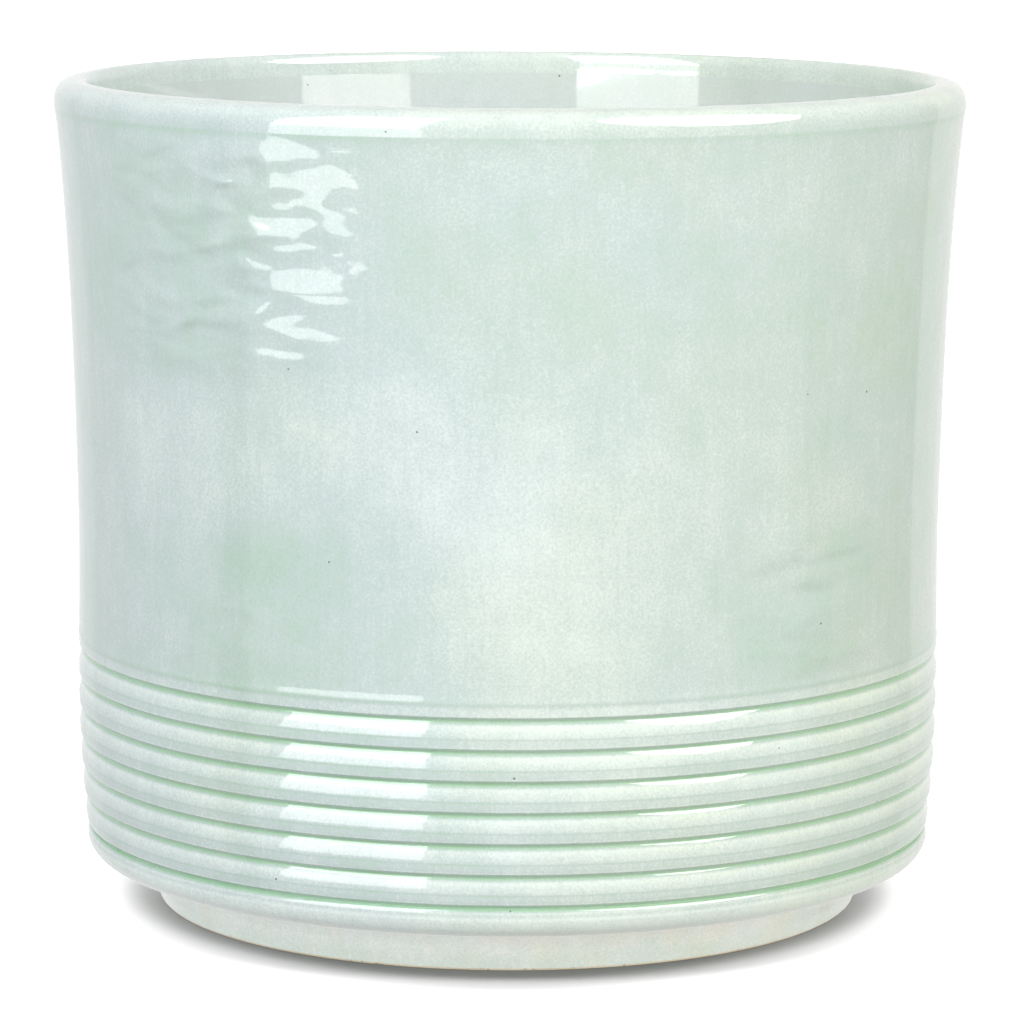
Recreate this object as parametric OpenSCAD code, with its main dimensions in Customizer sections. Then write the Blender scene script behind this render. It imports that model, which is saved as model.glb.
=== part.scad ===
// Glazed stoneware pot for brushes: a round wall that flares to a soft lip, a band of
// turned grooves, a rounded shoulder and, over a hollow, a narrower foot with a recess under it.
// The fired clay is one solid. The glaze is three coats, put on one after the other:
// outside and over the lip, inside, and a thin one on the foot.
// Origin: centre of the face that the pot stands on. +Z is the pot's own axis.
// Outlines are half sections, as [radius, height] points.

/* [Overall] */
// Diameter at the widest part of the rim, over the glaze
rim_d = 180; // [140:1:240]
// Height from the table to the top of the lip
pot_h = 164; // [130:1:220]
// Diameter at the slimmest part of the wall, over the glaze
waist_d = 171.8; // [165:0.1:235]
// Height of the slimmest part of the wall
waist_z = 74; // [64:1:90]
// Thickness of the wall, glaze included
wall = 7; // [5:0.1:9]
// Thickness of the floor over the recess, glaze included
floor_t = 8; // [5:0.1:10]

/* [Lip] */
// Height of the rounding of the lip
lip_h = 4.5; // [2:0.1:7]
// Width of the inner side of the lip, from its crest to the inside wall
lip_in = 1.8; // [1:0.1:3]

/* [Grooves] */
// Number of grooves
groove_count = 7; // [3:1:8]
// Distance from one groove to the next
groove_pitch = 5.95; // [4.5:0.05:7.15]
// Height of the lowest groove
groove_z = 15.3; // [14:0.1:18]
// Depth of a groove, measured on the glaze
groove_depth = 0.95; // [0.4:0.05:1.4]
// Height of the rounded shoulder under each groove
groove_shoulder = 1.4; // [1:0.1:2.4]
// How much the grooved band swells past the waist, on the radius
band_swell = 0.25; // [0:0.05:1]

/* [Foot] */
// Diameter of the foot, at the edge of the face that the pot stands on
foot_d = 139.8; // [110:0.1:146]
// Height of the foot, from the table to the underside of the shoulder
foot_h = 9.4; // [8:0.1:10.4]
// Width of the rounded shoulder over the foot
shoulder_w = 4.1; // [2:0.1:5]
// Radius of the hollow under the shoulder
cove_r = 6; // [3:0.1:6.5]
// How much the foot widens from its base up to the hollow, on the radius
foot_splay = 1.2; // [0.5:0.1:2]
// Width of the ring that the pot stands on
foot_ring = 8; // [5:0.1:14]
// Depth of the recess inside the foot ring
recess_h = 3; // [1.5:0.1:4]

/* [Inside] */
// Radius of the corner between the wall and the floor
corner_r = 16; // [8:0.5:18]

/* [Glaze] */
// Thickness of the outside glaze on the wall
glaze_t = 0.5; // [0.3:0.05:0.8]
// How much thicker the outside glaze lies at the bottom of a groove
glaze_pool = 0.35; // [0.1:0.05:0.5]
// Thickness of the inside glaze
liner_t = 0.4; // [0.2:0.05:0.8]
// Thickness of the thin glaze on the foot
foot_glaze_t = 0.2; // [0.1:0.05:0.3]
// Height of the bare edge under the foot glaze
bare_h = 1; // [0.5:0.1:2]

/* [Hidden] */
$fn = 180;

clay_colour = "#D9CFBE";
glaze_colour = "#CFE2D8";
liner_colour = "#D9E8E6";
foot_colour = "#D6DECF";

wall_steps = 12; // straight stretches that make up the flared wall
arc_steps = 8;
flare_slope = 0.4; // share of the flare that is a straight slope, the rest being cubic
band_curve_r = 250; // radius on which the grooved band curves in towards the foot
band_margin = 3; // plain height over the top groove, where the wall steps in
band_step = 0.3;
belly_rise = 8; // the band is widest this far over its middle
groove_flank = 0.35; // height of the steep side over a groove
groove_floor = 0.3;
edge_round = 0.25; // rounding of the edge over a groove

rim_r = rim_d / 2;
waist_r = waist_d / 2;
foot_r = foot_d / 2;
lip_z = pot_h - lip_h;
lip_out = wall - lip_in;
crest_r = rim_r - lip_out;
band_top_z = groove_z + (groove_count - 1) * groove_pitch + band_margin;
belly_z = (band_top_z + groove_z) / 2 + belly_rise;
belly_r = waist_r + band_swell;
shoulder_z = groove_z - groove_floor / 2 - groove_shoulder;
cove_z = foot_h - cove_r;
cove_centre_r = foot_r + foot_splay + foot_glaze_t + cove_r;
foot_edge = 0.8 * bare_h; // the rounding of the foot's edge stays within the bare clay
floor_z = recess_h + floor_t;
corner_z = floor_z + corner_r;
recess_r = foot_r - foot_ring;
recess_round = recess_h / 2;

// Points on a quarter of an ellipse round [r, z], from angle a to angle b
function arc(r, z, half_w, half_h, a, b) =
    [for (i = [0 : arc_steps]) let (t = a + (b - a) * i / arc_steps)
        [r + half_w * cos(t), z + half_h * sin(t)]];
function tail(points) = [for (i = [1 : len(points) - 1]) points[i]];
function reversed(points) = [for (i = [len(points) - 1 : -1 : 0]) points[i]];

// Radius of the plain wall over the glaze: flared, swelling into the band, and curved in
function flare_at(z) = let (t = (z - waist_z) / (lip_z - waist_z))
    waist_r + (rim_r - waist_r) * (flare_slope * t + (1 - flare_slope) * pow(t, 3));
function swell_at(z) = let (t = (waist_z - z) / (waist_z - belly_z))
    waist_r + band_swell * t * t * (3 - 2 * t);
function band_at(z) = belly_r - pow(belly_z - z, 2) / (2 * band_curve_r);
function wall_at(z) = z >= waist_z ? flare_at(z) : z >= belly_z ? swell_at(z) : band_at(z);

// One groove from its upper edge, which is stepped in by step, to the end of its shoulder
function groove(z, r, depth, step) =
    let (edge_z = z + groove_floor / 2 + groove_flank + edge_round)
    concat(
        arc(r - step - edge_round, edge_z, edge_round, edge_round, 0, -90),
        [[r - depth, z + groove_floor / 2]],
        arc(r - depth, shoulder_z + z - groove_z, depth, groove_shoulder, 90, 0)
    );

// The outside from the crest of the lip to the hollow, on a surface that lies inset under
// the glaze, with its grooves pool deeper
function outside(inset, pool) =
    concat(
        arc(crest_r, lip_z, lip_out - inset, lip_h - inset, 90, 0),
        [for (i = [1 : wall_steps]) let (z = lip_z + (band_top_z - lip_z) * i / wall_steps)
            [wall_at(z) - inset, z]],
        [for (i = [groove_count - 1 : -1 : 0]) let (z = groove_z + i * groove_pitch)
            each groove(z, wall_at(z) - inset, groove_depth + pool,
                        i == groove_count - 1 ? band_step : 0)],
        tail(arc(wall_at(groove_z) - shoulder_w, shoulder_z, shoulder_w - inset,
                 shoulder_z - foot_h - inset, 0, -90)),
        [[cove_centre_r, foot_h + inset]]
    );
// The lip from the inside wall to its crest
function lip_inside(inset, liner) = arc(crest_r, lip_z, lip_in - liner, lip_h - inset, 180, 90);
// The inside from the lip to the middle of the floor, on a surface out under the glaze
function inside(out) =
    concat(
        [for (i = [0 : wall_steps]) let (z = lip_z + (corner_z - lip_z) * i / wall_steps)
            [wall_at(z) - wall + out, z]],
        tail(arc(wall_at(corner_z) - wall - corner_r, corner_z,
                 corner_r + out, corner_r + out, 0, -90)),
        [[0, floor_z - out]]
    );
// The hollow and the side of the foot, on a surface out over the clay
function foot_side(out) = let (r = cove_r + foot_glaze_t - out)
    concat(
        arc(cove_centre_r, cove_z, r, r, 90, 180),
        [[foot_r + foot_splay * (bare_h - foot_edge) / (cove_z - foot_edge) + out, bare_h]]
    );
// The foot's edge, the ring that the pot stands on, and the recess up to the axis
underside =
    concat(
        arc(foot_r - foot_edge, foot_edge, foot_edge, foot_edge, 0, -90),
        [[recess_r + recess_round / 2, 0], [recess_r, recess_round / 2]],
        arc(recess_r - recess_round, recess_round, recess_round, recess_round, 0, 90),
        [[0, recess_h]]
    );

clay_outside = concat(lip_inside(glaze_t, liner_t), tail(outside(glaze_t, glaze_pool)));

module turned(points) {
    rotate_extrude() polygon(points);
}

module stoneware_body() {
    color(clay_colour)
        turned(concat(clay_outside, foot_side(0), underside, reversed(inside(liner_t))));
}

module outside_glaze() {
    color(glaze_colour)
        turned(concat(lip_inside(0, 0), tail(outside(0, 0)), reversed(clay_outside)));
}

module liner_glaze() {
    color(liner_colour)
        turned(concat(inside(0), reversed(inside(liner_t))));
}

module foot_glaze() {
    color(foot_colour)
        turned(concat(foot_side(foot_glaze_t), reversed(foot_side(0))));
}

stoneware_body();
outside_glaze();
liner_glaze();
foot_glaze();
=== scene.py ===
"""Looks of the brush pot: a thrown stoneware pot under a glossy celadon glaze.

The pot is turned, so every piece is an outline swept once round the pot's axis by the same
node tree. Outlines are in millimetres, as (radius, height, depth, wave) points: depth is how
thick the glaze lies there, and on the foot and under the shoulder also how much paler it is
painted, as painted light against their shade; wave is how far its surface may run in ripples.
Everything else is in metres, in the frame of the CAD model: origin under the middle of the
foot, +Z up.
"""
import math

import bmesh
import bpy
import numpy as np
from mathutils import Matrix, Vector, noise


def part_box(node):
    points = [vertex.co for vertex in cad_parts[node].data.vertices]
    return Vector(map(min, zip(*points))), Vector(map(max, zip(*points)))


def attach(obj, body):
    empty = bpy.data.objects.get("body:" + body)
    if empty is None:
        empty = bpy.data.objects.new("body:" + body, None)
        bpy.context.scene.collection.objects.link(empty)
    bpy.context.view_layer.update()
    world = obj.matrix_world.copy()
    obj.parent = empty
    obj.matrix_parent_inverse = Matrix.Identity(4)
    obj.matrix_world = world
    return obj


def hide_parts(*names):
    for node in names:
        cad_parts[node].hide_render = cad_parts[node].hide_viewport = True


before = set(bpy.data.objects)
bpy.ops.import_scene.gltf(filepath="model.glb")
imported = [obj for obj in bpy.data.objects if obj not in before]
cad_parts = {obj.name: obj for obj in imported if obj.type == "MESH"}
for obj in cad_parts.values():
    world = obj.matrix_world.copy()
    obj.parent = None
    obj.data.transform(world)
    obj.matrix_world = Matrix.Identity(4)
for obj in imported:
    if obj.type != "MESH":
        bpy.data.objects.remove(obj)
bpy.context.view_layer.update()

MM = 0.001

# ---------------------------------------------------------------- sizes of the pot, in mm
RIM_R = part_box("outside_glaze")[1].x / MM
POT_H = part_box("outside_glaze")[1].z / MM
FOOT_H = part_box("outside_glaze")[0].z / MM
WAIST_R = 85.9
WAIST_Z = 74.0
WALL = 7.0
FLOOR_Z = 11.0
CORNER_R = 16.0

LIP_H = 4.5
LIP_IN = 1.8
LIP_Z = POT_H - LIP_H
CREST_R = RIM_R - WALL + LIP_IN
LIP_ROUND_Z = POT_H - 5.0  # the outer rounding of the lip starts a little under LIP_Z
LIP_SQUARENESS = 2.8  # 2 is an ellipse, more is squarer
INNER_ROUND_Z = POT_H - 2.6  # and the inner one nearer the top
LIP_BEAD = 0.14  # the glaze rolls out this far under the lip
LIP_BEAD_H = 3.4

GROOVES = 7
GROOVE_PITCH = 5.95
GROOVE_Z = 15.3
GROOVE_DEPTH = 0.85
GROOVE_FLOOR = 0.3
GROOVE_EDGE = 0.25  # radius of the edge over a groove
GROOVE_FLANK = 0.55
GROOVE_POOL_H = 0.9  # the green of the groove fades out this far down
RIB_ROUND = 2.9  # height of the sloping shoulder under a groove, which ends in a soft crease
RIB_SLOPES = (0.40, 0.185)  # how steeply the shoulder slopes at its top and at its crease
RIB_HOLLOW = 0.03  # a faint hollow runs under the crease
LOWEST_ROUND = 1.4
CLAY_ROUND = 2.4  # the same height on the clay, so that it stays inside the sloping glaze
CREASE_DROP = 0.22  # the fine line runs this far under the crease
BAND_TOP_Z = GROOVE_Z + (GROOVES - 1) * GROOVE_PITCH + 3.0
BAND_STEP = 0.3
BAND_SWELL = 0.25
BAND_CURVE_R = 250.0
BELLY_Z = (BAND_TOP_Z + GROOVE_Z) / 2 + 8.0
BELLY_R = WAIST_R + BAND_SWELL
ROLL_Z = 54.2  # a low roll of glaze over the grooved band
ROLL_H = 1.7
ROLL_OUT = 0.10
ROLL_UNDER = 0.6  # height of the roll's underside

SHOULDER_Z = GROOVE_Z - GROOVE_FLOOR / 2 - LOWEST_ROUND
SHOULDER_W = 4.1
FOOT_R = 69.9
FOOT_SPLAY = 1.2
COVE_R = 6.0
COVE_Z = FOOT_H - COVE_R
FOOT_RING = 8.0
RECESS_H = 3.0
BARE_H = 0.45
FOOT_EDGE = 0.4

GLAZE_T = 0.5
GLAZE_POOL = 0.35
LINER_T = 0.4
FOOT_GLAZE_T = 0.2
COVE_CENTRE_R = FOOT_R + FOOT_SPLAY + FOOT_GLAZE_T + COVE_R

# How thick the glaze lies, from 0 on an edge to 1 in a groove
DEPTH_WALL = 0.42
DEPTH_EDGE = 0.08
DEPTH_RIB = 0.30
DEPTH_FLAT = 0.40
DEPTH_LINE = 0.66
DEPTH_POOL = 0.92
DEPTH_INNER_LIP = 0.15
DEPTH_SHOULDER = 0.09


# ---------------------------------------------------------------- outlines
def smooth(t):
    t = min(1.0, max(0.0, t))
    return t * t * (3 - 2 * t)


def mix(a, b, t):
    return a + (b - a) * t


def arc(r, z, half_w, half_h, start, end, steps, squareness=2.0):
    """Points on a quarter of a rounded square about (r, z), angles in degrees."""
    points = []
    for i in range(steps + 1):
        a = math.radians(mix(start, end, i / steps))
        c, s = math.cos(a), math.sin(a)
        points.append((r + half_w * math.copysign(abs(c) ** (2 / squareness), c),
                       z + half_h * math.copysign(abs(s) ** (2 / squareness), s)))
    return points


def wall_r(z):
    """Radius of the plain wall over the glaze, as the CAD model has it."""
    if z >= WAIST_Z:
        t = (z - WAIST_Z) / (LIP_Z - WAIST_Z)
        return WAIST_R + (RIM_R - WAIST_R) * (0.4 * t + 0.6 * t ** 3)
    if z >= BELLY_Z:
        return WAIST_R + BAND_SWELL * smooth((WAIST_Z - z) / (WAIST_Z - BELLY_Z))
    return BELLY_R - (BELLY_Z - z) ** 2 / (2 * BAND_CURVE_R)


def outer_wall_r(z):
    """The same radius with the bead under the lip and the roll over the band."""
    bead = LIP_BEAD * smooth((z - LIP_ROUND_Z + LIP_BEAD_H) / LIP_BEAD_H)
    roll = ROLL_OUT * smooth((ROLL_Z + ROLL_H - z) / ROLL_H)
    roll *= smooth((z - ROLL_Z + ROLL_UNDER) / ROLL_UNDER)
    return wall_r(z) + bead + roll


def coat_points(points, depth, wave=0.0):
    return [(r, z, depth, wave) for r, z in points]


def lip_points():
    """The lip from the inside wall over its crest to the outside, with the glaze thin on top."""
    inner = [(wall_r(z) - WALL, z) for z in (LIP_Z, mix(LIP_Z, INNER_ROUND_Z, 0.5))]
    inner += arc(CREST_R, INNER_ROUND_Z, CREST_R - wall_r(INNER_ROUND_Z) + WALL,
                 POT_H - INNER_ROUND_Z, 180, 90, 10)
    width = outer_wall_r(LIP_ROUND_Z) - CREST_R
    outer = arc(CREST_R, LIP_ROUND_Z, width, POT_H - LIP_ROUND_Z, 90, 0, 16, LIP_SQUARENESS)
    points = []
    for r, z in inner + outer[1:]:
        thin = smooth((z - LIP_Z) / LIP_H)
        thick = DEPTH_FLAT if r > CREST_R else DEPTH_INNER_LIP
        points.append((r, z, mix(thick, DEPTH_EDGE, thin), 0.0))
    return points


def wall_points(spacing):
    """The plain wall, from under the lip to the top groove."""
    points = []
    z = LIP_ROUND_Z
    while z > BAND_TOP_Z - 1.2:
        near = min(LIP_ROUND_Z - z, abs(z - ROLL_Z))
        z -= mix(0.35, spacing, smooth((near - 1.5) / 4))
        under_lip = math.exp(-((z - LIP_ROUND_Z + 0.4) / 0.8) ** 2)
        under_roll = math.exp(-((z - ROLL_Z + 0.1) / 0.35) ** 2)
        pale_band = smooth((ROLL_Z - 0.4 - z) / 0.6)
        depth = DEPTH_WALL + 0.14 * under_lip + 0.16 * under_roll - 0.12 * pale_band
        wave = min(smooth((LIP_ROUND_Z - z) / 3), smooth((z - ROLL_Z) / 6))
        points.append((outer_wall_r(z), z, depth, wave))
    return points


def groove_points(z, last):
    """A groove under its edge, the rounding under it, and the flat of the rib down to the next."""
    r = wall_r(z)
    edge_z = z + GROOVE_FLOOR / 2 + GROOVE_FLANK + GROOVE_EDGE
    step = BAND_STEP if z > GROOVE_Z + (GROOVES - 1.5) * GROOVE_PITCH else 0.0
    top_r = outer_wall_r(edge_z) if step else r
    edge = arc(top_r - GROOVE_EDGE, edge_z, GROOVE_EDGE, GROOVE_EDGE, 0, -80, 4)
    points = coat_points(edge, 0.24)
    bottom_r = r - GROOVE_DEPTH
    floor_top = z + GROOVE_FLOOR / 2
    points += [(mix(edge[-1][0], bottom_r, 0.6), floor_top + 0.25, 0.7, 0.0),
               (bottom_r + 0.05, floor_top, DEPTH_POOL, 0.0),
               (bottom_r, z, DEPTH_POOL, 0.0)]
    height = LOWEST_ROUND if last else RIB_ROUND
    for i in range(11):
        u = i / 10
        down = height * u ** 1.6
        rise = math.sqrt(max(0.0, 1 - (1 - down / height) ** 2))
        pool = 1 - smooth(down / GROOVE_POOL_H)
        depth = max(mix(DEPTH_EDGE, DEPTH_POOL, pool),
                    mix(DEPTH_EDGE, DEPTH_RIB, smooth((u - 0.45) / 0.55)))
        here = z - GROOVE_FLOOR / 2 - down
        if not last:
            # the slope eases off from the first of RIB_SLOPES to the second
            gain = RIB_SLOPES[0] * down + (RIB_SLOPES[1] - RIB_SLOPES[0]) * down ** 2 / (2 * height)
            rise = gain / (height * sum(RIB_SLOPES) / 2)
        points.append((mix(bottom_r, wall_r(here), rise), here, depth, 0.0))
    if last:
        return points
    end = z - GROOVE_PITCH + GROOVE_FLOOR / 2 + GROOVE_FLANK + GROOVE_EDGE
    start = z - GROOVE_FLOOR / 2 - height
    for i in range(1, 6):
        here = mix(start, end, i / 6)
        hollow = math.exp(-((start - CREASE_DROP - here) / 0.16) ** 2)
        points.append((wall_r(here) - RIB_HOLLOW * hollow, here,
                       mix(DEPTH_FLAT, DEPTH_LINE, hollow), 0.0))
    return points


def shoulder_points(inset, steps):
    """The rounded shoulder under the band, and its underside in to the cove."""
    rounding = arc(wall_r(GROOVE_Z) - SHOULDER_W, SHOULDER_Z, SHOULDER_W - inset,
                   SHOULDER_Z - FOOT_H - inset, 0, -90, steps)[1:]
    return rounding + [(COVE_CENTRE_R, FOOT_H + inset)]


def clay_outside():
    """The clay under the outside glaze, from the lip's inner side to the cove."""
    points = arc(CREST_R, LIP_Z, LIP_IN - LINER_T, LIP_H - GLAZE_T, 180, 90, 6)
    points += arc(CREST_R, LIP_Z, WALL - LIP_IN - GLAZE_T, LIP_H - GLAZE_T, 90, 0, 6)[1:]
    points += [(wall_r(z) - GLAZE_T, z)
               for z in (mix(LIP_Z, BAND_TOP_Z, i / 10) for i in range(1, 11))]
    for i in reversed(range(GROOVES)):
        z = GROOVE_Z + i * GROOVE_PITCH
        r = wall_r(z) - GLAZE_T
        step = BAND_STEP if i == GROOVES - 1 else 0.0
        bottom_r = r - GROOVE_DEPTH - GLAZE_POOL
        edge_z = z + GROOVE_FLOOR / 2 + GROOVE_FLANK
        points += [(r - step, edge_z + GROOVE_EDGE), (r - step - GROOVE_EDGE, edge_z)]
        points += [(bottom_r, z + GROOVE_FLOOR / 2)]
        height = CLAY_ROUND if i else LOWEST_ROUND
        points += arc(bottom_r, z - GROOVE_FLOOR / 2 - height, GROOVE_DEPTH + GLAZE_POOL,
                      height, 90, 0, 5)
    return coat_points(points + shoulder_points(GLAZE_T, 6), DEPTH_WALL)


def inside_points(out, spacing, corner_steps, wave=0.0):
    """The inside from the lip to the middle of the floor, on a surface out under the glaze."""
    corner_z = FLOOR_Z + CORNER_R
    steps = round((LIP_Z - corner_z) / spacing)
    points = []
    for i in range(steps + 1):
        z = mix(LIP_Z, corner_z, i / steps)
        line = math.exp(-((z - LIP_Z + 1.2) / 1.3) ** 2)
        points.append((wall_r(z) - WALL + out, z, mix(DEPTH_WALL, 0.6, line),
                       wave * smooth((LIP_Z - z) / 6)))
    corner = arc(wall_r(corner_z) - WALL - CORNER_R, corner_z, CORNER_R + out, CORNER_R + out,
                 0, -90, corner_steps)[1:]
    points += coat_points(corner, 0.5, wave)
    floor_r = corner[-1][0]
    floor_steps = max(1, round(floor_r / (2 * spacing)))
    points += [(mix(floor_r, 0.0, i / floor_steps), FLOOR_Z - out, 0.55, wave * 0.5)
               for i in range(1, floor_steps + 1)]
    return points


def foot_side(out, steps):
    """The cove and the side of the foot, on a surface out over the clay."""
    radius = COVE_R + FOOT_GLAZE_T - out
    cove = arc(COVE_CENTRE_R, COVE_Z, radius, radius, 90, 180, steps)
    low_r = FOOT_R + FOOT_SPLAY * (BARE_H - FOOT_EDGE) / (COVE_Z - FOOT_EDGE) + out
    low = (low_r, BARE_H)
    side = [(mix(cove[-1][0], low[0], t), mix(COVE_Z, BARE_H, t)) for t in (0.3, 0.6, 0.85, 1.0)]
    return cove + side


def underside():
    """The rounded edge of the foot, the ring that it stands on, and the recess to the axis."""
    edge = arc(FOOT_R - FOOT_EDGE, FOOT_EDGE, FOOT_EDGE, FOOT_EDGE, 0, -90, 8)
    recess_r = FOOT_R - FOOT_RING
    half = RECESS_H / 2
    ring = [(recess_r + half / 2 + 0.2, 0.0), (recess_r + half / 2, 0.05), (recess_r, half)]
    hollow = arc(recess_r - half, half, half, half, 0, 90, 6)[1:]
    floor = [(mix(recess_r - half, 0.0, i / 8), RECESS_H) for i in range(1, 9)]
    return edge + ring + hollow + floor


def crisp(outline):
    """The closed outline with points close to its sharp corners, so that they shade crisply."""
    points = []
    around = zip(outline[-2:-1] + outline[:-1], outline, outline[1:] + outline[1:2])
    for before, here, after in around:
        a, b, c = Vector(before[:2]), Vector(here[:2]), Vector(after[:2])
        sharp = min((b - a).length, (c - b).length) > 0.1 and (b - a).angle(c - b) > 0.6
        near = [(*(b + (other - b).normalized() * 0.03), *here[2:]) for other in (a, c)]
        points += [near[0], here, near[1]] if sharp else [here]
        if len(points) > 1 and here == outline[0] and points[1] == here:
            points.pop(0)
    if points[-1] != outline[-1]:
        points.pop()
    return points


# ---------------------------------------------------------------- small tools
def linear(colour):
    """An sRGB hex colour as linear RGBA."""
    parts = [int(colour[i:i + 2], 16) / 255 for i in (1, 3, 5)]
    return [c / 12.92 if c <= 0.04045 else ((c + 0.055) / 1.055) ** 2.4 for c in parts] + [1.0]


def add(tree, kind, inputs=None, **settings):
    """Adds a node. Each of its inputs is given a value, or an output that it is linked to."""
    node = tree.nodes.new(kind)
    for name, value in settings.items():
        setattr(node, name, value)
    for key, value in (inputs or {}).items():
        if isinstance(value, bpy.types.NodeSocket):
            tree.links.new(value, node.inputs[key])
        else:
            node.inputs[key].default_value = value
    return node


# ---------------------------------------------------------------- turning
SEGMENTS = 232  # straight sides that make up a full turn


def turning_tree():
    """Sweeps an outline once round Z, lets the glaze run in waves, and sets its material."""
    tree = bpy.data.node_groups.new("turn_on_the_wheel", "GeometryNodeTree")
    for name, kind in (("Outline", "NodeSocketGeometry"), ("Segments", "NodeSocketInt"),
                       ("Wave Height", "NodeSocketFloat"), ("Wave Length", "NodeSocketFloat"),
                       ("Seed", "NodeSocketFloat"), ("Finish", "NodeSocketMaterial")):
        tree.interface.new_socket(name, in_out="INPUT", socket_type=kind)
    tree.interface.new_socket("Coat", in_out="OUTPUT", socket_type="NodeSocketGeometry")
    given = add(tree, "NodeGroupInput").outputs

    rows = add(tree, "GeometryNodeAttributeDomainSize", {0: given["Outline"]}).outputs[0]
    around = add(tree, "FunctionNodeIntegerMath", {0: given["Segments"], 1: 1}).outputs[0]
    grid = add(tree, "GeometryNodeMeshGrid", {"Vertices X": around, "Vertices Y": rows})
    index = add(tree, "GeometryNodeInputIndex").outputs[0]
    row = add(tree, "FunctionNodeIntegerMath", {0: index, 1: rows}, operation="MODULO").outputs[0]
    column = add(tree, "FunctionNodeIntegerMath", {0: index, 1: rows},
                 operation="DIVIDE").outputs[0]
    turn = add(tree, "ShaderNodeMath", {0: column, 1: given["Segments"]}, operation="DIVIDE")
    angle = add(tree, "ShaderNodeMath", {0: turn.outputs[0], 1: math.tau, 2: math.pi / 2},
                operation="MULTIPLY_ADD").outputs[0]

    place = add(tree, "GeometryNodeInputPosition").outputs[0]
    on_outline = add(tree, "GeometryNodeSampleIndex",
                     {"Geometry": given["Outline"], "Index": row}, data_type="FLOAT_VECTOR")
    tree.links.new(place, on_outline.inputs["Value"])
    flat = add(tree, "ShaderNodeSeparateXYZ", {0: on_outline.outputs[0]}).outputs
    cosine = add(tree, "ShaderNodeMath", {0: angle}, operation="COSINE").outputs[0]
    sine = add(tree, "ShaderNodeMath", {0: angle}, operation="SINE").outputs[0]
    x = add(tree, "ShaderNodeMath", {0: flat[0], 1: cosine}, operation="MULTIPLY").outputs[0]
    y = add(tree, "ShaderNodeMath", {0: flat[0], 1: sine}, operation="MULTIPLY").outputs[0]
    turned = add(tree, "ShaderNodeCombineXYZ", {0: x, 1: y, 2: flat[2]}).outputs[0]
    shape = add(tree, "GeometryNodeSetPosition", {0: grid.outputs[0], "Position": turned})

    for name in ("depth", "wave"):
        value = add(tree, "GeometryNodeInputNamedAttribute", {"Name": name}).outputs[0]
        sampled = add(tree, "GeometryNodeSampleIndex",
                      {"Geometry": given["Outline"], "Index": row, "Value": value})
        shape = add(tree, "GeometryNodeStoreNamedAttribute",
                    {0: shape.outputs[0], "Name": name, "Value": sampled.outputs[0]})
    closed = add(tree, "GeometryNodeMergeByDistance", {0: shape.outputs[0], "Distance": 1e-6})

    wave = add(tree, "GeometryNodeInputNamedAttribute", {"Name": "wave"}).outputs[0]
    per_metre = add(tree, "ShaderNodeMath", {0: 1.0, 1: given["Wave Length"]},
                    operation="DIVIDE").outputs[0]
    runs = add(tree, "ShaderNodeTexNoise",
               {"Vector": place, "W": given["Seed"], "Scale": per_metre, "Detail": 2.0,
                "Roughness": 0.45}, noise_dimensions="4D").outputs[0]
    swing = add(tree, "ShaderNodeMath", {0: runs, 1: 0.5}, operation="SUBTRACT").outputs[0]
    height = add(tree, "ShaderNodeMath", {0: swing, 1: given["Wave Height"]},
                 operation="MULTIPLY").outputs[0]
    height = add(tree, "ShaderNodeMath", {0: height, 1: wave}, operation="MULTIPLY").outputs[0]
    normal = add(tree, "GeometryNodeInputNormal").outputs[0]
    offset = add(tree, "ShaderNodeVectorMath", {0: normal, "Scale": height}, operation="SCALE")
    shape = add(tree, "GeometryNodeSetPosition",
                {0: closed.outputs[0], "Offset": offset.outputs[0]})
    shape = add(tree, "GeometryNodeSetShadeSmooth", {0: shape.outputs[0]})
    shape = add(tree, "GeometryNodeSetMaterial",
                {0: shape.outputs[0], "Material": given["Finish"]})
    shape = add(tree, "GeometryNodeRealizeInstances", {0: shape.outputs[0]})
    add(tree, "NodeGroupOutput", {0: shape.outputs[0]})
    return tree


def close_up(mesh):
    """Drops the wires that the merged poles leave on the axis, and turns the faces outwards."""
    shell = bmesh.new()
    shell.from_mesh(mesh)
    wires = [e for e in shell.edges if not e.link_faces]
    bmesh.ops.delete(shell, geom=wires, context="EDGES")
    loose = [v for v in shell.verts if not v.link_faces]
    bmesh.ops.delete(shell, geom=loose, context="VERTS")
    if shell.calc_volume(signed=True) < 0:
        bmesh.ops.reverse_faces(shell, faces=shell.faces)
    shell.to_mesh(mesh)
    shell.free()


def turn(name, outline, finish, wave_height=0.0, wave_length=20.0, seed=0.0):
    """One turned piece as a plain mesh. Its outline closes on itself, or on the axis."""
    outline = crisp(outline)
    mesh = bpy.data.meshes.new(name)
    mesh.from_pydata([(r * MM, 0.0, z * MM) for r, z, _, _ in outline],
                     [(i, i + 1) for i in range(len(outline) - 1)], [])
    for label, k in (("depth", 2), ("wave", 3)):
        mesh.attributes.new(label, "FLOAT", "POINT").data.foreach_set(
            "value", [p[k] for p in outline])
    obj = bpy.data.objects.new(name, mesh)
    bpy.context.scene.collection.objects.link(obj)
    modifier = obj.modifiers.new("turning", "NODES")
    modifier.node_group = TURNING
    values = {"Segments": SEGMENTS, "Wave Height": wave_height * MM,
              "Wave Length": wave_length * MM, "Seed": seed, "Finish": finish}
    for socket in TURNING.interface.items_tree:
        if socket.name in values:
            modifier[socket.identifier] = values[socket.name]
    seen = bpy.context.evaluated_depsgraph_get()
    plain = bpy.data.meshes.new_from_object(obj.evaluated_get(seen), depsgraph=seen,
                                            preserve_all_data_layers=True)
    obj.modifiers.clear()
    obj.data = plain
    plain.name = name
    plain.materials.clear()
    plain.materials.append(finish)
    close_up(plain)
    return obj


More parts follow.
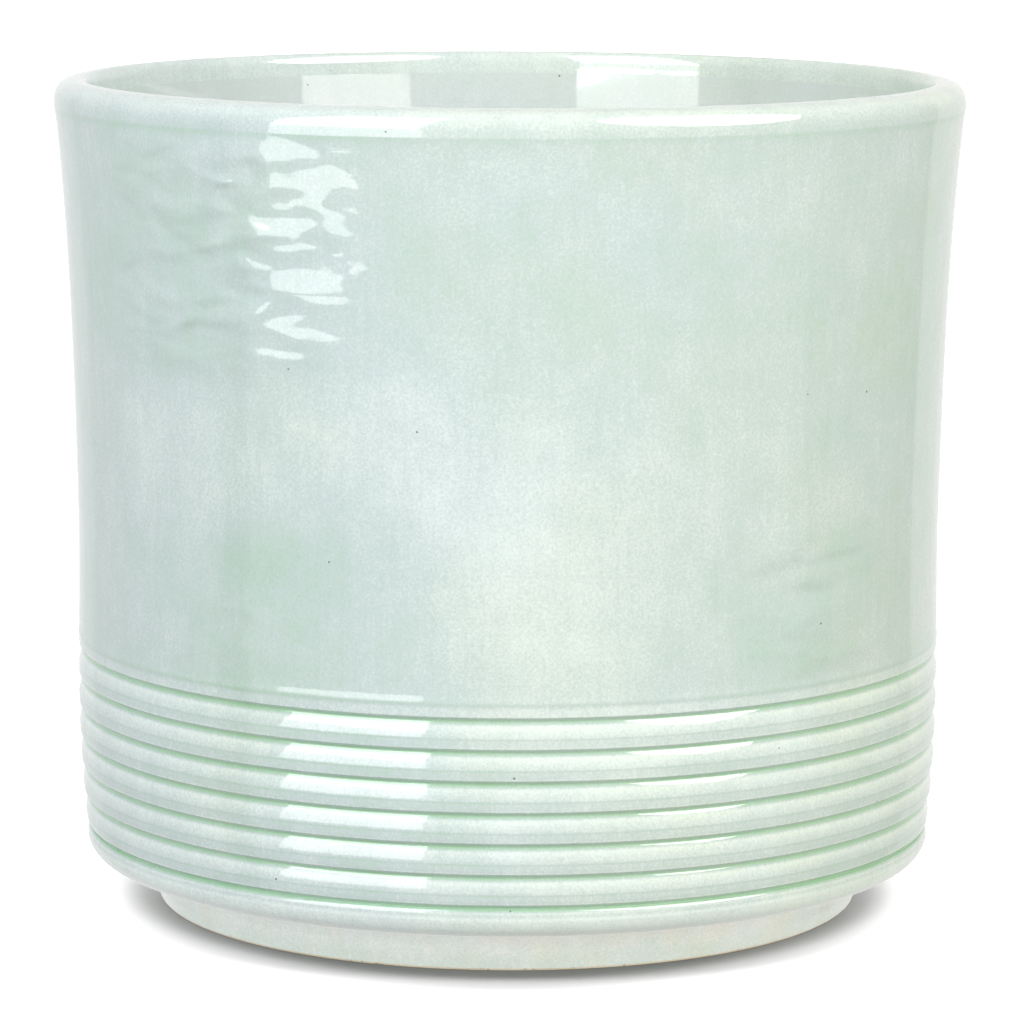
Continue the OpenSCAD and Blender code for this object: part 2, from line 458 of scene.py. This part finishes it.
# ---------------------------------------------------------------- clouds in the glaze
# Where the glaze lies thick or thin on the wall: azimuth from the front in degrees, height,
# half width and half height in mm, and how much thicker it is there.
CLOUDS = [
    (-33, 78, 26, 17, 0.17), (-22, 40, 40, 26, 0.10), (-62, 128, 26, 34, 0.09),
    (-38, 132, 20, 26, 0.08), (-70, 68, 20, 28, 0.07), (38, 64, 26, 10, 0.15),
    (48, 78, 16, 6, 0.12), (60, 118, 26, 24, 0.10), (24, 128, 24, 14, 0.04),
    (-8, 128, 26, 18, 0.03), (-30, 100, 26, 12, -0.12), (-8, 92, 22, 18, -0.12),
    (4, 74, 24, 18, -0.18), (10, 50, 30, 26, -0.10), (28, 92, 24, 11, -0.07),
    (-52, 92, 24, 24, -0.13), (-3, 106, 40, 10, -0.05),
    (120, 60, 34, 20, 0.13), (150, 118, 40, 22, -0.12), (-120, 70, 38, 22, -0.13),
    (-150, 122, 36, 20, 0.12), (180, 78, 30, 24, 0.08), (95, 104, 26, 26, -0.10),
]
CLOUD_DRIFT = 9.0  # how far the edges of the clouds wander, in mm
CLOUD_SEED = 7  # never 0, which would take the time of day instead


def lay_clouds(obj):
    """Stores how much thicker or thinner the glaze lies at each point."""
    mesh = obj.data
    places = np.empty(len(mesh.vertices) * 3)
    mesh.vertices.foreach_get("co", places)
    places = places.reshape(-1, 3) / MM
    noise.seed_set(CLOUD_SEED)
    drift = np.array([noise.noise_vector(p / 21.0) + 0.5 * noise.noise_vector(p / 8.0)
                      for p in map(Vector, places)]) * CLOUD_DRIFT
    azimuth = np.arctan2(places[:, 0], -places[:, 1])
    around = azimuth * WAIST_R + drift[:, 0]
    height = places[:, 2] + drift[:, 2]
    total = np.zeros(len(places))
    for degrees, z, half_w, half_h, amount in CLOUDS:
        across = around - math.radians(degrees) * WAIST_R
        turn_mm = math.tau * WAIST_R
        across = (across + turn_mm / 2) % turn_mm - turn_mm / 2
        total += amount * np.exp(-(across / half_w) ** 2 - ((height - z) / half_h) ** 2)
    mesh.attributes.new("cloud", "FLOAT", "POINT").data.foreach_set(
        "value", total.astype(np.float32))


# Where the glaze has run in short ripples: azimuth in degrees, height, half width, half
# height in mm, and strength.
RUNS = [(-40, 142, 26, 16, 1.5), (-40, 121, 26, 7, 1.0), (-46, 66, 26, 8, 0.3),
        (42, 72, 18, 16, 0.8), (150, 96, 26, 30, 0.9), (-140, 60, 20, 22, 0.7)]


def lay_runs(obj):
    """Stores how strongly the glaze ripples at each point."""
    mesh = obj.data
    places = np.empty(len(mesh.vertices) * 3)
    mesh.vertices.foreach_get("co", places)
    places = places.reshape(-1, 3) / MM
    azimuth = np.degrees(np.arctan2(places[:, 0], -places[:, 1]))
    wave = np.empty(len(places))
    mesh.attributes["wave"].data.foreach_get("value", wave)
    total = np.zeros(len(places))
    for degrees, z, half_w, half_h, amount in RUNS:
        across = np.radians((azimuth - degrees + 180) % 360 - 180) * WAIST_R
        total += amount * np.exp(-(across / half_w) ** 4 - ((places[:, 2] - z) / half_h) ** 4)
    mesh.attributes.new("runs", "FLOAT", "POINT").data.foreach_set(
        "value", (total * wave).astype(np.float32))


# ---------------------------------------------------------------- materials
def celadon(name, thin, middle, thick, warm, tinge_size, roughness, ripples):
    """Celadon: a clear glassy glaze tinged green by a little iron, fired over pale stoneware.

    It is pale where it lies thin on an edge and green where it pools, with fine speckle from
    the clay showing through, and it is as glossy as wet glass.
    """
    material = bpy.data.materials.new(name)
    material.use_nodes = True
    tree = material.node_tree
    tree.nodes.clear()
    place = add(tree, "ShaderNodeTexCoord").outputs["Object"]
    depth = add(tree, "ShaderNodeAttribute", attribute_name="depth").outputs["Fac"]
    cloud = add(tree, "ShaderNodeAttribute", attribute_name="cloud").outputs["Fac"]

    # wisps of about 12 mm, streaks of 1.5 mm that run down the wall, speckle of 0.5 mm
    wisps = add(tree, "ShaderNodeTexNoise", {"Vector": place, "Scale": 1 / (12 * MM),
                "Detail": 6.0, "Roughness": 0.62}).outputs[0]
    drawn_out = add(tree, "ShaderNodeMapping", {0: place, "Scale": (1, 1, 0.08)}).outputs[0]
    streaks = add(tree, "ShaderNodeTexNoise", {"Vector": drawn_out, "Scale": 1 / (1.5 * MM),
                  "Detail": 2.0}).outputs[0]
    specks = add(tree, "ShaderNodeTexNoise", {"Vector": place, "Scale": 1 / (0.5 * MM),
                 "Detail": 1.0, "Roughness": 0.7}).outputs[0]
    total = add(tree, "ShaderNodeMath", {0: depth, 1: cloud}, operation="ADD").outputs[0]
    for pattern, share in ((wisps, 0.48), (streaks, 0.16), (specks, 0.60)):
        centred = add(tree, "ShaderNodeMath", {0: pattern, 1: 0.5}, operation="SUBTRACT")
        total = add(tree, "ShaderNodeMath", {0: centred.outputs[0], 1: share, 2: total},
                    operation="MULTIPLY_ADD").outputs[0]

    lower = add(tree, "ShaderNodeMapRange", {"Value": total, "From Min": 0.0,
                "From Max": DEPTH_WALL}).outputs[0]
    upper = add(tree, "ShaderNodeMapRange", {"Value": total, "From Min": DEPTH_WALL,
                "From Max": 1.0}).outputs[0]
    colour = add(tree, "ShaderNodeMix", {0: lower, 6: linear(thin), 7: linear(middle)},
                 data_type="RGBA").outputs[2]
    colour = add(tree, "ShaderNodeMix", {0: upper, 6: colour, 7: linear(thick)},
                 data_type="RGBA").outputs[2]
    # patches of tint at random, and towards +X, the side that faces the warm right-hand lamp, a
    # painted warm cast of its light, which turns the glaze from bluish to yellowish there
    tint_and_lamp_cast = add(tree, "ShaderNodeTexNoise", {"Vector": place, "Scale": 1 / (tinge_size * MM),
                "Detail": 3.0}).outputs[0]
    side = add(tree, "ShaderNodeSeparateXYZ", {0: place}).outputs[0]
    tint_and_lamp_cast = add(tree, "ShaderNodeMath", {0: side, 1: 3.5, 2: tint_and_lamp_cast},
                operation="MULTIPLY_ADD").outputs[0]
    tint_and_lamp_cast = add(tree, "ShaderNodeMapRange", {"Value": tint_and_lamp_cast, "From Min": 0.35,
                "From Max": 0.85}).outputs[0]
    colour = add(tree, "ShaderNodeMix", {0: tint_and_lamp_cast, 6: colour, 7: linear(warm)},
                 data_type="RGBA", blend_type="MULTIPLY").outputs[2]
    # iron specks up to 0.5 mm across, where grains 9 mm apart in the clay meet the surface
    grains = add(tree, "ShaderNodeTexVoronoi", {"Vector": place,
                 "Scale": 1 / (9 * MM)}).outputs[0]
    iron = add(tree, "ShaderNodeMapRange", {"Value": grains, "From Min": 0.018,
               "From Max": 0.028, "To Min": 0.85, "To Max": 0.0}).outputs[0]
    colour = add(tree, "ShaderNodeMix", {0: iron, 6: colour, 7: linear("#4A4335")},
                 data_type="RGBA").outputs[2]

    # slanting ripples 4.6 mm apart where the glaze ran, and orange peel of 3 mm
    runs = add(tree, "ShaderNodeAttribute", attribute_name="runs").outputs["Fac"]
    tilted = add(tree, "ShaderNodeMapping", {0: place, "Rotation": (0.0, 0.5, 0.0),
                 "Scale": (0.4, 0.4, 1.0)}).outputs[0]
    ripple = add(tree, "ShaderNodeTexNoise", {"Vector": tilted, "Scale": 1 / (4.6 * MM),
                 "Detail": 0.0, "Distortion": 0.5}).outputs[0]
    ripple = add(tree, "ShaderNodeMath", {0: ripple, 1: runs}, operation="MULTIPLY").outputs[0]
    peel = add(tree, "ShaderNodeTexNoise", {"Vector": place, "Scale": 1 / (3.0 * MM),
               "Detail": 2.0}).outputs[0]
    relief = add(tree, "ShaderNodeMath", {0: peel, 1: 0.03, 2: ripple},
                 operation="MULTIPLY_ADD").outputs[0]
    bump = add(tree, "ShaderNodeBump", {"Height": relief, "Distance": ripples * MM})
    shader = add(tree, "ShaderNodeBsdfPrincipled",
                 {"Base Color": colour, "Roughness": roughness, "IOR": 1.5,
                  "Normal": bump.outputs[0]})
    add(tree, "ShaderNodeOutputMaterial", {0: shader.outputs[0]})
    return material


def fired_stoneware():
    """Stoneware clay, fired and ground flat where it stands: matt, warm, with dark grit."""
    material = bpy.data.materials.new("fired_stoneware")
    material.use_nodes = True
    tree = material.node_tree
    tree.nodes.clear()
    place = add(tree, "ShaderNodeTexCoord").outputs["Object"]
    patches = add(tree, "ShaderNodeTexNoise", {"Vector": place, "Scale": 1 / (9 * MM),
                  "Detail": 5.0}).outputs[0]
    colour = add(tree, "ShaderNodeMix", {0: patches, 6: linear("#DED4C0"),
                 7: linear("#CBB898")}, data_type="RGBA").outputs[2]
    grit = add(tree, "ShaderNodeTexNoise", {"Vector": place, "Scale": 1 / (0.7 * MM),
               "Detail": 1.0}).outputs[0]
    dark = add(tree, "ShaderNodeMapRange", {"Value": grit, "From Min": 0.66,
               "From Max": 0.72, "To Max": 0.7}).outputs[0]
    colour = add(tree, "ShaderNodeMix", {0: dark, 6: colour, 7: linear("#6B5540")},
                 data_type="RGBA").outputs[2]
    bump = add(tree, "ShaderNodeBump", {"Height": grit, "Distance": 0.05 * MM})
    shader = add(tree, "ShaderNodeBsdfPrincipled", {"Base Color": colour, "Roughness": 0.8,
                 "IOR": 1.5, "Normal": bump.outputs[0]})
    add(tree, "ShaderNodeOutputMaterial", {0: shader.outputs[0]})
    return material


def plain_material(name, colour, glows=False):
    """A flat even colour, for the paper and the grey screens round the studio."""
    material = bpy.data.materials.new(name)
    material.use_nodes = True
    tree = material.node_tree
    tree.nodes.clear()
    kind = "ShaderNodeEmission" if glows else "ShaderNodeBsdfDiffuse"
    shader = add(tree, kind, {"Color": linear(colour)})
    add(tree, "ShaderNodeOutputMaterial", {0: shader.outputs[0]})
    return material


# ---------------------------------------------------------------- the pieces
TURNING = turning_tree()

outer = lip_points() + wall_points(2.0)
for i in reversed(range(GROOVES)):
    outer += groove_points(GROOVE_Z + i * GROOVE_PITCH, i == 0)
# the shoulder's glaze lies thin over its convex edge, and down its underside to the cove it is
# painted paler still: painted light that lifts the shade under the shoulder
outer += [(r, z, mix(0.0, DEPTH_SHOULDER, smooth((z - FOOT_H) / 3)), 0.0)
          for r, z in shoulder_points(0.0, 14)]
clay_under_glaze = clay_outside()
clay_under_liner = inside_points(LINER_T, 8.0, 8)
foot_clay = coat_points(foot_side(0.0, 8), 0.2)

celadon_glaze = celadon("celadon_glaze", "#EBF4EF", "#CDDAD8", "#A9CFAE", "#FFFFF3", 40.0, 0.04,
                        1.0)
# the liner takes the celadon in paler colours: painted light that lifts the shade inside the pot
liner_finish = celadon("liner_glaze", "#F2F5F4", "#E0E7E5", "#C6DACB", "#FFFFF8", 40.0, 0.05, 0.4)
foot_finish = celadon("thin_foot_glaze", "#F6F8F5", "#D8E4DC", "#CBD9C8", "#FFF9EE", 7.0, 0.22,
                      0.5)
stoneware = fired_stoneware()

outside_coat = turn("outside_glaze_coat", outer + clay_under_glaze[::-1] + outer[:1],
                    celadon_glaze, wave_height=0.12, wave_length=26.0, seed=3.0)
lay_clouds(outside_coat)
lay_runs(outside_coat)
liner_visible = inside_points(0.0, 2.5, 14, wave=1.0)
liner_coat = turn("liner_glaze_coat",
                  liner_visible + clay_under_liner[::-1] + liner_visible[:1],
                  liner_finish, wave_height=0.15, wave_length=30.0, seed=5.0)
# the glaze on the foot is painted paler towards its top, up under the shoulder: painted light that
# lifts the shade of the overhang
foot_visible = [(r, z, mix(0.4, 0.02, smooth(z / FOOT_H)), 0.0)
                for r, z in foot_side(FOOT_GLAZE_T, 10)]
foot_coat = turn("foot_glaze_coat", foot_visible + foot_clay[::-1] + foot_visible[:1],
                 foot_finish)
clay = turn("stoneware_clay", clay_under_glaze + foot_clay + coat_points(underside(), 0.0)
            + clay_under_liner[::-1] + clay_under_glaze[:1], stoneware)

for piece, node, slot in ((outside_coat, "outside_glaze", "celadon_glaze"),
                          (liner_coat, "liner_glaze", "liner_glaze"),
                          (foot_coat, "foot_glaze", "thin_glaze"),
                          (clay, "stoneware_body", "fired_clay")):
    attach(piece, "root")
    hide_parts(node)

# ---------------------------------------------------------------- floor, light and camera
floor_mesh = bpy.data.meshes.new("floor")
FLOOR_HALF = 6.0
floor_mesh.from_pydata([(-FLOOR_HALF, -FLOOR_HALF, 0), (FLOOR_HALF, -FLOOR_HALF, 0),
                        (FLOOR_HALF, FLOOR_HALF, 0), (-FLOOR_HALF, FLOOR_HALF, 0)],
                       [], [(0, 1, 2, 3)])
floor = bpy.data.objects.new("floor", floor_mesh)
bpy.context.scene.collection.objects.link(floor)
# white paper, overexposed; only the camera sees it, and the white walls of the studio light
# the pot from below in its place
floor_mesh.materials.append(plain_material("white_paper", "#939393"))
floor.visible_diffuse = False
floor.visible_glossy = False
floor.visible_shadow = False

world = bpy.data.worlds.new("white_studio")
bpy.context.scene.world = world
world.use_nodes = True
tree = world.node_tree
tree.nodes.clear()
STUDIO_FILL = 0.42  # the white walls of the studio are dimmer as light than they look
ray = add(tree, "ShaderNodeLightPath").outputs["Is Diffuse Ray"]
strength = add(tree, "ShaderNodeMapRange", {"Value": ray, "To Min": 1.0,
               "To Max": STUDIO_FILL}).outputs[0]
back = add(tree, "ShaderNodeBackground", {"Color": (1, 1, 1, 1), "Strength": strength})
add(tree, "ShaderNodeOutputWorld", {0: back.outputs[0]})


def way_to(azimuth, elevation=0.0):
    """A direction from the pot. Azimuth 0 is towards the camera, and + is to its right."""
    a, e = math.radians(azimuth), math.radians(elevation)
    return Vector((math.sin(a) * math.cos(e), -math.cos(a) * math.cos(e), math.sin(e)))


def softbox(name, azimuth, elevation, away, size, radiance, colour, part, lit):
    """A soft light that faces the pot, with a part: LIGHT falls on it, SHINE is mirrored in it.

    A square one stands upright and a round one is tilted to the pot.
    """
    data = bpy.data.lights.new(name, "AREA")
    area = size[0] * size[1]
    way = way_to(azimuth, elevation)
    facing = way_to(azimuth)
    if name.endswith("octabox"):
        data.shape = "ELLIPSE"
        area *= math.pi / 4
        facing = way
    else:
        data.shape = "RECTANGLE"
    data.size, data.size_y = size
    data.energy = radiance * math.pi * area
    data.color = colour
    lamp = bpy.data.objects.new(name, data)
    bpy.context.scene.collection.objects.link(lamp)
    lamp.location = Vector((0, 0, POT_H * MM / 2)) + way * away
    lamp.rotation_mode = "QUATERNION"
    lamp.rotation_quaternion = (-facing).to_track_quat("-Z", "Y")
    lamp.visible_camera = False
    lamp.visible_glossy = part == SHINE
    lamp.visible_diffuse = part == LIGHT
    lamp.light_linking.receiver_collection = lit


def group(name, *members):
    collection = bpy.data.collections.new(name)
    for member in members:
        collection.objects.link(member)
    return collection


LIGHT, SHINE = "light", "shine"
pot = group("pot", outside_coat, liner_coat, foot_coat, clay)
foot = group("foot", foot_coat, clay)
inside = group("inside", liner_coat)
paper_only = group("paper_only", floor)
COOL, WARM = (0.93, 0.98, 1.0), (1.0, 0.995, 0.97)

# these light the surface, and the pot doesn't mirror them
softbox("left_light", -46, 24, 1.0, (0.74, 0.86), 2.4, COOL, LIGHT, pot)
softbox("right_light", 47, 21, 1.02, (0.93, 0.93), 2.2, WARM, LIGHT, pot)
softbox("front_light", 0, 40, 1.04, (1.2, 0.5), 1.4, COOL, LIGHT, pot)
softbox("back_light", 180, 4, 1.0, (1.0, 0.9), 1.7, COOL, LIGHT, pot)
softbox("foot_light", 0, -35, 1.0, (1.8, 0.5), 1.0, WARM, LIGHT, foot)
# these are mirrored in the glaze, and don't light it; in the left softbox the lamp sits high,
# so that its lower third is dimmer
softbox("left_softbox", -39.4, 47, 1.11, (0.52, 1.24), 9.0, (0.97, 0.99, 1.0), SHINE, pot)
softbox("left_softbox_low", -39.4, 5.2, 0.753, (0.52, 0.30), 4.5, (0.97, 0.99, 1.0), SHINE, pot)
softbox("right_octabox", 54, 39, 1.0, (0.84, 0.84), 14.0, WARM, SHINE, pot)
softbox("right_low", 48, 3, 0.706, (0.44, 0.3), 4.5, WARM, SHINE, inside)

# wide lights on the paper alone, from above, from both sides and from the front
for name, azimuth, elevation, strength, width in (
        ("overhead", 0, 90, 1.2, 125), ("from_left", -112, 38, 3.2, 44),
        ("from_right", 112, 38, 3.2, 44), ("front_left", -46, 50, 1.15, 20),
        ("front_right", 46, 50, 1.1, 20)):
    sun = bpy.data.lights.new(name, "SUN")
    sun.energy = strength * math.pi
    sun.angle = math.radians(width)
    lamp = bpy.data.objects.new(name, sun)
    bpy.context.scene.collection.objects.link(lamp)
    lamp.rotation_mode = "QUATERNION"
    lamp.rotation_quaternion = (-way_to(azimuth, elevation)).to_track_quat("-Z", "Y")
    lamp.light_linking.receiver_collection = paper_only


FLAG_AWAY = 1.3  # metres from the pot's axis
FLAG_Z = (-0.6, 1.1)


def flag(name, start, end, grey):
    """An upright curved screen from one azimuth to another, which only the glaze mirrors."""
    steps = max(2, round((end - start) / 6))
    ring = [way_to(mix(start, end, i / steps)) * FLAG_AWAY for i in range(steps + 1)]
    points = [(p.x, p.y, z) for z in FLAG_Z for p in ring]
    n = steps + 1
    mesh = bpy.data.meshes.new(name)
    mesh.from_pydata(points, [], [(i, i + 1, i + 1 + n, i + n) for i in range(steps)])
    mesh.materials.append(plain_material(name, grey, glows=True))
    obj = bpy.data.objects.new(name, mesh)
    bpy.context.scene.collection.objects.link(obj)
    obj.visible_camera = False
    obj.visible_diffuse = False
    obj.visible_shadow = False


flag("flag_beside_the_softbox", -79, -69, "#909090")
flag("grey_left_side", -140, -79, "#F0F0F0")
flag("grey_right_side", 80, 131, "#D0D0D0")

CAMERA_BACK = 0.9809
CAMERA_HEIGHT = 0.2288
CAMERA_PITCH = 0.1536  # downwards, in radians
CAMERA_YAW = 0.00076
CAMERA_ROLL = 0.0042
lens = bpy.data.cameras.new("camera")
lens.sensor_width = 36.0
lens.lens = 173.95
camera = bpy.data.objects.new("camera", lens)
bpy.context.scene.collection.objects.link(camera)
ahead = Vector((math.sin(CAMERA_YAW) * math.cos(CAMERA_PITCH),
                math.cos(CAMERA_YAW) * math.cos(CAMERA_PITCH), -math.sin(CAMERA_PITCH)))
right = ahead.cross(Vector((0, 0, 1))).normalized()
up = right.cross(ahead)
right_rolled = right * math.cos(CAMERA_ROLL) + up * math.sin(CAMERA_ROLL)
up_rolled = up * math.cos(CAMERA_ROLL) - right * math.sin(CAMERA_ROLL)
turned_to = Matrix((right_rolled, up_rolled, -ahead)).transposed().to_4x4()
camera.matrix_world = Matrix.Translation((0, -CAMERA_BACK, CAMERA_HEIGHT)) @ turned_to
bpy.context.scene.camera = camera

bpy.context.scene.view_settings.view_transform = "Standard"
bpy.context.scene.view_settings.look = "None"
